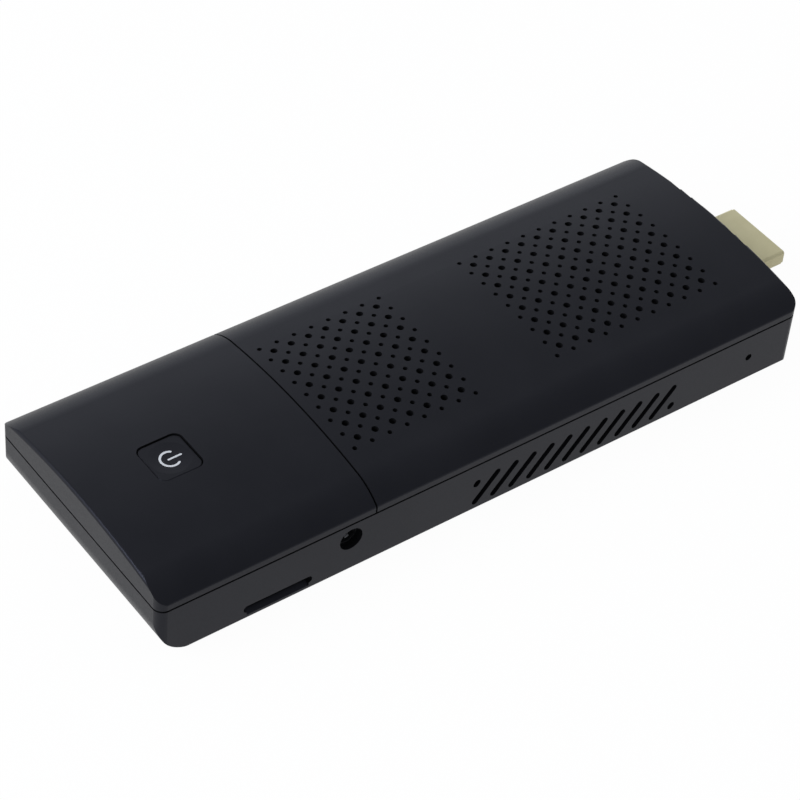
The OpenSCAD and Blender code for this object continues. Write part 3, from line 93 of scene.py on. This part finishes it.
def studio_sky():
    world = bpy.data.worlds.new("studio_sky")
    world.use_nodes = True
    scene.world = world
    nodes, links = world.node_tree.nodes, world.node_tree.links
    nodes.clear()
    coord = nodes.new("ShaderNodeTexCoord")
    slope = nodes.new("ShaderNodeVectorMath")
    slope.operation = "DOT_PRODUCT"
    slope.inputs[1].default_value = SKY_SLOPE
    links.new(coord.outputs["Generated"], slope.inputs[0])
    place = nodes.new("ShaderNodeMapRange")
    place.inputs["From Min"].default_value = -1
    links.new(slope.outputs["Value"], place.inputs["Value"])
    ramp = nodes.new("ShaderNodeValToRGB")
    for spot, _ in SKY_STEPS[1:-1]:
        ramp.color_ramp.elements.new(spot)
    for element, (spot, level) in zip(ramp.color_ramp.elements, SKY_STEPS):
        element.position = spot
        element.color = (*(level * share for share in COOL_LIGHT), 1)
    links.new(place.outputs["Result"], ramp.inputs["Fac"])
    soft = nodes.new("ShaderNodeBackground")
    links.new(ramp.outputs["Color"], soft.inputs["Color"])
    out = nodes.new("ShaderNodeOutputWorld")
    links.new(soft.outputs[0], out.inputs["Surface"])


def either(nodes, links, first, second):
    seen = nodes.new("ShaderNodeMath")
    seen.operation = "MAXIMUM"
    links.new(first, seen.inputs[0])
    links.new(second, seen.inputs[1])
    return seen.outputs[0]


def white_floor():
    bpy.ops.object.select_all(action="DESELECT")
    bpy.ops.mesh.primitive_plane_add(size=FLOOR_SIZE, location=(0, 0, -FLOOR_DROP))
    floor = bpy.context.object
    floor.name = "studio_floor"
    mat = bpy.data.materials.new("studio_floor")
    mat.use_nodes = True
    nodes, links = mat.node_tree.nodes, mat.node_tree.links
    nodes.clear()
    paper = nodes.new("ShaderNodeBsdfDiffuse")
    paper.inputs["Color"].default_value = (PAPER_GREY, PAPER_GREY, PAPER_GREY, 1)
    glow = nodes.new("ShaderNodeEmission")
    glow.inputs["Color"].default_value = (1, 1, 1, 1)
    rays = nodes.new("ShaderNodeLightPath")
    seen = either(nodes, links, rays.outputs["Is Camera Ray"], rays.outputs["Is Glossy Ray"])
    clear = either(nodes, links, seen, rays.outputs["Is Transmission Ray"])
    share = nodes.new("ShaderNodeMath")
    share.operation = "MULTIPLY"
    share.inputs[1].default_value = WHITE_SHARE
    links.new(clear, share.inputs[0])
    mix = nodes.new("ShaderNodeMixShader")
    links.new(share.outputs[0], mix.inputs["Fac"])
    links.new(paper.outputs[0], mix.inputs[1])
    links.new(glow.outputs[0], mix.inputs[2])
    out = nodes.new("ShaderNodeOutputMaterial")
    links.new(mix.outputs[0], out.inputs["Surface"])
    floor.data.materials.append(mat)


def left_softbox():
    data = bpy.data.lights.new("left_softbox", "AREA")
    data.shape = "SQUARE"
    data.size = SOFTBOX_SIZE
    data.energy = SOFTBOX_WATTS
    data.color = COOL_LIGHT
    lamp = bpy.data.objects.new("left_softbox", data)
    scene.collection.objects.link(lamp)
    lamp.location = SOFTBOX_PLACE
    lamp.rotation_mode = "QUATERNION"
    lamp.rotation_quaternion = (-SOFTBOX_PLACE).to_track_quat("-Z", "Y")


studio_sky()
white_floor()
left_softbox()


# Finishes

# The part of a noise pattern's range that is used
NOISE_LOW = 0.3
NOISE_HIGH = 0.7
PLASTIC_DRIFT = 90
PLASTIC_RELIEF = 0.03 * MM
METAL_CLOUD = 220
METAL_RELIEF = 0.01 * MM
BOARD_TRACKS = 700
BOARD_FILM = 500


def new_finish(name):
    mat = bpy.data.materials.new(name)
    mat.use_nodes = True
    nodes, links = mat.node_tree.nodes, mat.node_tree.links
    shader = nodes["Principled BSDF"]
    coord = nodes.new("ShaderNodeTexCoord")
    return mat, nodes, links, shader, coord


def noise(nodes, links, vector, scale, detail, rough=0.5):
    tex = nodes.new("ShaderNodeTexNoise")
    tex.inputs["Scale"].default_value = scale
    tex.inputs["Detail"].default_value = detail
    tex.inputs["Roughness"].default_value = rough
    links.new(vector, tex.inputs["Vector"])
    return tex


def stretched(nodes, links, coord, scale):
    place = nodes.new("ShaderNodeMapping")
    place.inputs["Scale"].default_value = scale
    links.new(coord.outputs["Object"], place.inputs["Vector"])
    return place.outputs["Vector"]


def tint(nodes, links, fac, dark, light, target):
    ramp = nodes.new("ShaderNodeValToRGB")
    ramp.color_ramp.elements[0].position = NOISE_LOW
    ramp.color_ramp.elements[0].color = (*dark, 1)
    ramp.color_ramp.elements[1].position = NOISE_HIGH
    ramp.color_ramp.elements[1].color = (*light, 1)
    links.new(fac, ramp.inputs["Fac"])
    links.new(ramp.outputs["Color"], target)


def gloss(nodes, links, fac, low, high, target):
    spread = nodes.new("ShaderNodeMapRange")
    spread.inputs["From Min"].default_value = NOISE_LOW
    spread.inputs["From Max"].default_value = NOISE_HIGH
    spread.inputs["To Min"].default_value = low
    spread.inputs["To Max"].default_value = high
    links.new(fac, spread.inputs["Value"])
    links.new(spread.outputs["Result"], target)


def relief(nodes, links, height, strength, depth, shader):
    bump = nodes.new("ShaderNodeBump")
    bump.inputs["Strength"].default_value = strength
    bump.inputs["Distance"].default_value = depth
    links.new(height, bump.inputs["Height"])
    links.new(bump.outputs["Normal"], shader.inputs["Normal"])


def moulded(name, dark, light, rough, grain, strength, level=0.5, sheen=(1, 1, 1)):
    mat, nodes, links, shader, coord = new_finish(name)
    place = coord.outputs["Object"]
    drift = noise(nodes, links, place, PLASTIC_DRIFT, 3)
    spark = noise(nodes, links, place, grain, 2, 0.6)
    tint(nodes, links, drift.outputs["Fac"], dark, light, shader.inputs["Base Color"])
    gloss(nodes, links, spark.outputs["Fac"], rough - 0.05, rough + 0.06, shader.inputs["Roughness"])
    relief(nodes, links, spark.outputs["Fac"], strength, PLASTIC_RELIEF, shader)
    shader.inputs["Specular IOR Level"].default_value = level
    shader.inputs["Specular Tint"].default_value = (*sheen, 1)
    return mat


def metal(name, dark, light, rough, brush, strength, metallic=1.0):
    mat, nodes, links, shader, coord = new_finish(name)
    lines = noise(nodes, links, stretched(nodes, links, coord, brush), 1, 3, 0.6)
    cloud = noise(nodes, links, coord.outputs["Object"], METAL_CLOUD, 4)
    tint(nodes, links, cloud.outputs["Fac"], dark, light, shader.inputs["Base Color"])
    gloss(nodes, links, lines.outputs["Fac"], rough - 0.07, rough + 0.08, shader.inputs["Roughness"])
    relief(nodes, links, lines.outputs["Fac"], strength, METAL_RELIEF, shader)
    shader.inputs["Metallic"].default_value = metallic
    return mat


def masked_board(name, dark, light):
    mat, nodes, links, shader, coord = new_finish(name)
    tracks = nodes.new("ShaderNodeTexVoronoi")
    tracks.distance = "MANHATTAN"
    tracks.feature = "F1"
    tracks.inputs["Scale"].default_value = BOARD_TRACKS
    links.new(coord.outputs["Object"], tracks.inputs["Vector"])
    tint(nodes, links, tracks.outputs["Distance"], light, dark, shader.inputs["Base Color"])
    film = noise(nodes, links, coord.outputs["Object"], BOARD_FILM, 3)
    gloss(nodes, links, film.outputs["Fac"], 0.25, 0.4, shader.inputs["Roughness"])
    relief(nodes, links, tracks.outputs["Distance"], 0.15, PLASTIC_RELIEF, shader)
    return mat


# Plastics have a dark and a light colour, roughness, grain, relief, reflection level and sheen
# Metals have a dark and a light colour, roughness, brush marks along X, Y and Z, relief and share of metal
SATIN_BLACK = ((0.0066, 0.0067, 0.0074), (0.0086, 0.0087, 0.0096))
SATIN_LEVEL = 0.19
COOL_SHEEN = (0.70, 0.735, 0.985)
FINISHES = {
    "casing": moulded("satin_casing", *SATIN_BLACK, 0.38, 4200, 0.08, SATIN_LEVEL, COOL_SHEEN),
    "button": moulded("satin_button", *SATIN_BLACK, 0.36, 4200, 0.08, SATIN_LEVEL, COOL_SHEEN),
    "moulding": moulded("black_insulator", (0.010, 0.010, 0.011), (0.016, 0.016, 0.017), 0.5, 3000, 0.15),
    "pale_moulding": moulded("pale_print", (0.54, 0.555, 0.575), (0.61, 0.625, 0.645), 0.5, 3000, 0.08),
    "blue_moulding": moulded("blue_insulator", (0.02, 0.09, 0.42), (0.03, 0.13, 0.52), 0.42, 3000, 0.1),
    "board": masked_board("green_mask", (0.008, 0.07, 0.025), (0.016, 0.12, 0.045)),
    "module_board": masked_board("blue_mask", (0.008, 0.04, 0.13), (0.015, 0.075, 0.2)),
    "package": moulded("chip_substrate", (0.02, 0.06, 0.035), (0.03, 0.09, 0.05), 0.45, 2000, 0.1),
    "chips": moulded("chip_body", (0.014, 0.014, 0.015), (0.02, 0.02, 0.022), 0.55, 5000, 0.2),
    "pad": moulded("gap_pad", (0.3, 0.37, 0.45), (0.38, 0.45, 0.53), 0.8, 1500, 0.3),
    "sink": metal("extruded_aluminium", (0.55, 0.56, 0.57), (0.68, 0.69, 0.7), 0.4, (400, 9000, 9000), 0.2),
    "screws": metal("plated_screw", (0.34, 0.35, 0.37), (0.46, 0.47, 0.49), 0.35, (2500, 2500, 2500), 0.1),
    "steel": metal("ground_steel", (0.52, 0.53, 0.54), (0.64, 0.65, 0.66), 0.25, (9000, 9000, 400), 0.1),
    "bronze": metal("sintered_bronze", (0.5, 0.34, 0.12), (0.62, 0.44, 0.17), 0.55, (4000, 4000, 4000), 0.4),
    "ferrite": moulded("ferrite_block", (0.055, 0.055, 0.06), (0.085, 0.085, 0.09), 0.6, 3500, 0.4),
    "copper": metal("bare_copper", (0.5, 0.24, 0.11), (0.64, 0.33, 0.16), 0.35, (600, 6000, 6000), 0.15),
    "cable": moulded("cable_jacket", (0.018, 0.018, 0.018), (0.028, 0.028, 0.028), 0.6, 2500, 0.2),
    "fan": moulded("blower_plastic", (0.016, 0.016, 0.018), (0.024, 0.024, 0.027), 0.5, 3000, 0.15),
    "plug_shell": metal("champagne_plating", (0.56, 0.512, 0.305), (0.62, 0.572, 0.353), 0.5,
                        (700, 9000, 9000), 0.1, 0.35),
    "gold": metal("gold_plating", (0.66, 0.45, 0.16), (0.78, 0.55, 0.22), 0.25, (6000, 600, 6000), 0.08),
    "sheet": metal("tinned_sheet", (0.52, 0.53, 0.54), (0.64, 0.65, 0.66), 0.32, (800, 8000, 8000), 0.12),
}

node_slots = {part["node"]: part["material_slot"] for part in frame["record"]["subparts"]}
for node, shown in frame["nodes"].items():
    shown.data.materials.clear()
    shown.data.materials.append(FINISHES[node_slots[node]])


# New pieces

# How near to a wanted place an edge's middle has to lie
PICK_REACH = 0.02 * MM
ROUND_STEPS = 5
ROUND_DEGREES = 15


def pick_edges(piece, chosen):
    mesh = bmesh.from_edit_mesh(piece.data)
    for part in (*mesh.verts, *mesh.edges, *mesh.faces):
        part.select = False
    for edge in mesh.edges:
        if chosen((edge.verts[0].co + edge.verts[1].co) / 2):
            edge.select = True
    mesh.select_flush_mode()
    bmesh.update_edit_mesh(piece.data)


def pick_faces(piece, chosen):
    mesh = bmesh.from_edit_mesh(piece.data)
    for face in mesh.faces:
        face.select = chosen(face.calc_center_median())
    mesh.select_flush_mode()
    bmesh.update_edit_mesh(piece.data)


def round_end(piece, mid, along, half):
    bpy.ops.mesh.select_mode(type="EDGE")
    pick_edges(piece, lambda spot: (spot - mid).length < PICK_REACH)
    reach = 0.0
    width = 1.0
    for number in range(1, ROUND_STEPS + 1):
        angle = math.radians(ROUND_DEGREES * number)
        step = half * math.sin(angle) - reach
        reach += step
        bpy.ops.mesh.extrude_edges_move(TRANSFORM_OT_translate={"value": along * step})
        narrow = math.cos(angle) / width
        width *= narrow
        bpy.ops.transform.resize(value=(narrow, narrow, narrow), center_override=mid + along * reach)


def apply_modifiers(piece):
    bpy.context.view_layer.objects.active = piece
    for name in [modifier.name for modifier in piece.modifiers]:
        bpy.ops.object.modifier_apply(modifier=name)


def finish_piece(piece, name, body, slot):
    piece.name = name
    piece.data.name = name
    piece.data.materials.clear()
    piece.data.materials.append(FINISHES[slot])
    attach(piece, body)


# Power symbol, drawn above the button and laid onto it

RING_CENTRE = Vector((-52.79 * MM, -0.45 * MM, 15.6 * MM))
RING_RADIUS = 1.57 * MM
RING_STROKE = 0.38 * MM
RING_POINTS = 96
GAP_HALF = math.radians(56)
BAR_STROKE = 0.33 * MM
BAR_FIRST = -0.28 * MM
BAR_LAST = 1.94 * MM
INK = 0.03 * MM


def in_gap(spot):
    return abs(math.atan2(spot.y - RING_CENTRE.y, spot.x - RING_CENTRE.x)) < GAP_HALF


def symbol_ring():
    bpy.ops.object.select_all(action="DESELECT")
    inner = RING_RADIUS - RING_STROKE / 2
    outer = RING_RADIUS + RING_STROKE / 2
    bpy.ops.mesh.primitive_circle_add(vertices=RING_POINTS, radius=inner, location=RING_CENTRE)
    bpy.ops.object.transform_apply(location=True)
    ring = bpy.context.object
    bpy.ops.object.mode_set(mode="EDIT")
    bpy.ops.mesh.select_all(action="SELECT")
    bpy.ops.mesh.extrude_edges_move()
    spread = outer / inner
    bpy.ops.transform.resize(value=(spread, spread, 1), center_override=RING_CENTRE)
    bpy.ops.mesh.select_mode(type="FACE")
    pick_faces(ring, in_gap)
    bpy.ops.mesh.delete(type="FACE")
    for side in (1, -1):
        aim = Vector((math.cos(GAP_HALF), side * math.sin(GAP_HALF), 0))
        along = Vector((math.sin(GAP_HALF), -side * math.cos(GAP_HALF), 0))
        round_end(ring, RING_CENTRE + aim * RING_RADIUS, along, RING_STROKE / 2)
    bpy.ops.object.mode_set(mode="OBJECT")
    return ring


def symbol_bar():
    bpy.ops.object.select_all(action="DESELECT")
    middle = RING_CENTRE + Vector(((BAR_FIRST + BAR_LAST) / 2, 0, 0))
    bpy.ops.mesh.primitive_plane_add(size=BAR_STROKE, location=middle)
    bpy.ops.object.transform_apply(location=True)
    bar = bpy.context.object
    bpy.ops.object.mode_set(mode="EDIT")
    bpy.ops.mesh.select_all(action="SELECT")
    bpy.ops.transform.resize(value=((BAR_LAST - BAR_FIRST) / BAR_STROKE, 1, 1), center_override=middle)
    for end, side in ((BAR_FIRST, -1), (BAR_LAST, 1)):
        round_end(bar, RING_CENTRE + Vector((end, 0, 0)), Vector((side, 0, 0)), BAR_STROKE / 2)
    bpy.ops.object.mode_set(mode="OBJECT")
    return bar


def power_symbol():
    bar = symbol_bar()
    ring = symbol_ring()
    bpy.ops.object.select_all(action="DESELECT")
    bar.select_set(True)
    ring.select_set(True)
    bpy.context.view_layer.objects.active = ring
    bpy.ops.object.join()
    wrap = ring.modifiers.new("onto_button", "SHRINKWRAP")
    wrap.target = frame["nodes"]["power_button"]
    wrap.wrap_method = "PROJECT"
    wrap.use_project_z = True
    wrap.use_negative_direction = True
    wrap.use_positive_direction = False
    wall = ring.modifiers.new("ink", "SOLIDIFY")
    wall.thickness = INK
    wall.offset = 0
    apply_modifiers(ring)
    finish_piece(ring, "power_symbol", "button", "pale_moulding")


# Spring leaf in the audio jack, a low hump along the bore

JACK_AXIS_HEIGHT = 6.8 * MM
JACK_BORE_RADIUS = 1.8 * MM
LEAF_WIDTH = 0.75 * MM
LEAF_SETBACK = 0.55 * MM
LEAF_RISE = 0.2 * MM
LEAF_RAMP = 0.45 * MM
LEAF_TURN = math.radians(23)
LEAF_THICKNESS = 0.1 * MM
LEAF_EDGE = 0.03 * MM
LEAF_EDGE_ANGLE = math.radians(20)


def jack_contact():
    low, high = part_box("audio_jack_body")
    axis = Vector(((low[0] + high[0]) / 2, low[1] + LEAF_SETBACK, JACK_AXIS_HEIGHT))
    foot = axis - Vector((0, 0, JACK_BORE_RADIUS))
    bpy.ops.object.select_all(action="DESELECT")
    bpy.ops.mesh.primitive_plane_add(size=LEAF_WIDTH, location=foot + Vector((0, LEAF_WIDTH / 2, 0)))
    bpy.ops.object.transform_apply(location=True)
    leaf = bpy.context.object
    bpy.ops.object.mode_set(mode="EDIT")
    bpy.ops.mesh.select_mode(type="EDGE")
    inner = foot + Vector((0, LEAF_WIDTH, 0))
    pick_edges(leaf, lambda spot: (spot - inner).length < PICK_REACH)
    bpy.ops.transform.translate(value=(0, LEAF_RAMP - LEAF_WIDTH, LEAF_RISE))
    bpy.ops.mesh.extrude_edges_move(TRANSFORM_OT_translate={"value": (0, LEAF_WIDTH, 0)})
    bpy.ops.mesh.extrude_edges_move(TRANSFORM_OT_translate={"value": (0, LEAF_RAMP, -LEAF_RISE)})
    bpy.ops.mesh.select_all(action="SELECT")
    bpy.ops.mesh.normals_make_consistent(inside=False)
    bpy.ops.transform.rotate(value=LEAF_TURN, orient_axis="Y", center_override=axis)
    bpy.ops.object.mode_set(mode="OBJECT")
    wall = leaf.modifiers.new("sheet", "SOLIDIFY")
    wall.thickness = LEAF_THICKNESS
    wall.offset = 0
    rim = leaf.modifiers.new("bent_edges", "BEVEL")
    rim.width = LEAF_EDGE
    rim.segments = 2
    rim.limit_method = "ANGLE"
    rim.angle_limit = LEAF_EDGE_ANGLE
    apply_modifiers(leaf)
    finish_piece(leaf, "jack_contact", "housing", "sheet")


power_symbol()
jack_contact()
